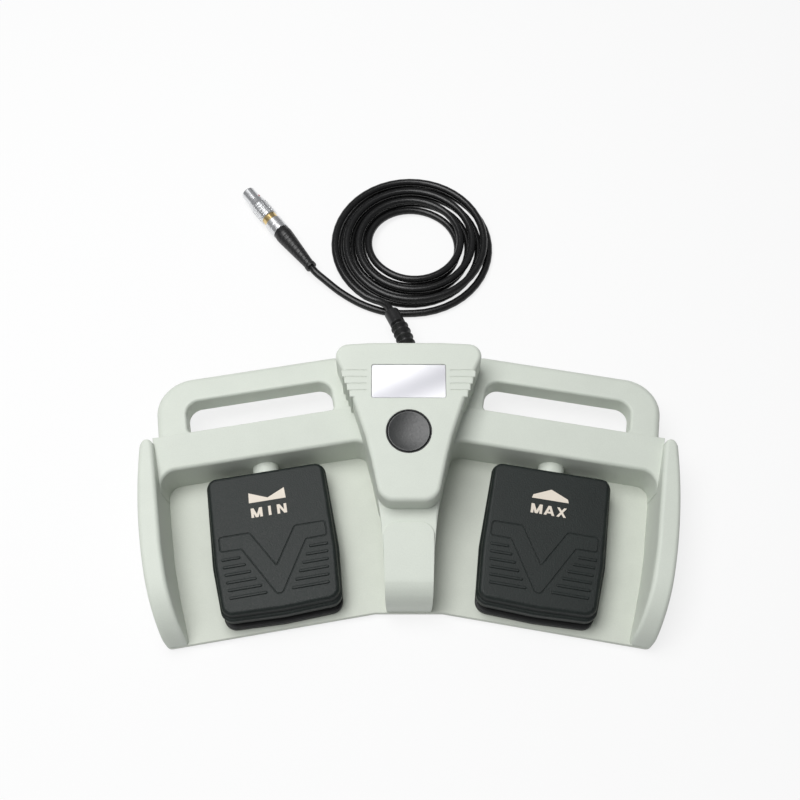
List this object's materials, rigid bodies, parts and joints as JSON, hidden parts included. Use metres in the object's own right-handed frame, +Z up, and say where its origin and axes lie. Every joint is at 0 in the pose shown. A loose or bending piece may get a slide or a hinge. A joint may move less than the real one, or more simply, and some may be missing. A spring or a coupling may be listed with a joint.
{
  "type": "foot switch",
  "caption": "Foot switch with hinged pedals in guarded trays, hand loops, a raised console with a mode button, and a coiled cable with a round plug.",
  "frame": {"origin": "on the surface that the object stands on, below the middle of the housing and base without the cable", "axes": "+X to the right as the user stands, +Y away from the user towards the cable, +Z up"},
  "size_m": [0.382, 0.3967, 0.0662],
  "materials": {
    "housing_plastic": "fine grain, light grey-green",
    "tray_plastic": "fine grain, light grey-green",
    "pedal_plastic": "fine grain, charcoal",
    "dark_plastic": "smooth, near black",
    "button_plastic": "satin, dished",
    "plate_metal": "brushed, bare",
    "foot_rubber": "matte black",
    "boot_rubber": "matte black",
    "cable_jacket": "smooth black jacket, slight sheen",
    "screw_steel": "zinc plated",
    "pin_steel": "ground",
    "spring_steel": "drawn wire",
    "board": "green board with its parts",
    "plug_chrome": "satin chrome on brass",
    "plug_gold": "gold coloured",
    "red_mark": "red enamel"
  },
  "bodies": {
    "housing": {"base_tray": "tray_plastic", "upper_housing": "housing_plastic", "rubber_feet": "foot_rubber", "housing_screws": "screw_steel", "base_seal": "foot_rubber", "name_plate": "plate_metal", "button_ring": "dark_plastic", "button_spring": "spring_steel", "button_switch": "dark_plastic", "control_board": "board", "board_screws": "screw_steel", "pedal_base_left": "dark_plastic", "pedal_base_right": "dark_plastic", "hinge_pin_left": "pin_steel", "hinge_pin_right": "pin_steel", "pedal_spring_left": "spring_steel", "pedal_spring_right": "spring_steel", "pedal_switch_left": "dark_plastic", "pedal_switch_right": "dark_plastic", "pedal_screws_left": "screw_steel", "pedal_screws_right": "screw_steel", "wire_duct_left": "housing_plastic", "wire_duct_right": "housing_plastic", "cable_boot": "boot_rubber", "cable_lead": "cable_jacket", "cable_coil": "cable_jacket", "cable_tail": "cable_jacket", "plug_boot": "boot_rubber", "plug_nut": "plug_chrome", "plug_ring": "plug_gold", "plug_core": "plug_chrome", "plug_insert": "dark_plastic", "plug_contacts": "plug_gold", "plug_key_dot": "red_mark"},
    "left_pedal": {"pedal_left": "pedal_plastic"},
    "right_pedal": {"pedal_right": "pedal_plastic"},
    "mode_button_body": {"mode_button": "button_plastic"},
    "plug_sleeve_body": {"plug_sleeve": "plug_chrome"}
  },
  "joints": [
    {"name": "pedal_left_hinge", "type": "hinge", "parent": "housing", "child": "left_pedal", "pos_m": [-0.10146, 0.0069, 0.015], "axis": [0.9848, 0.1736, 0], "range_deg": [0, 2.4], "stiffness_Nm_per_rad": 8, "springref_deg": -2.86, "deforming": ["pedal_spring_left"]},
    {"name": "pedal_right_hinge", "type": "hinge", "parent": "housing", "child": "right_pedal", "pos_m": [0.10146, 0.0069, 0.015], "axis": [0.9848, -0.1736, 0], "range_deg": [0, 2.4], "stiffness_Nm_per_rad": 8, "springref_deg": -2.86, "deforming": ["pedal_spring_right"]},
    {"name": "mode_button_slide", "type": "slide", "parent": "housing", "child": "mode_button_body", "axis": [0, 0.1062, -0.9943], "range_m": [0, 0.0025], "stiffness_N_per_m": 400, "springref_m": -0.003, "deforming": ["button_spring"]},
    {"name": "plug_sleeve_slide", "type": "slide", "parent": "housing", "child": "plug_sleeve_body", "axis": [0.599, -0.8007, 0], "range_m": [0, 0.0015], "stiffness_N_per_m": 800, "springref_m": -0.002}
  ]
}
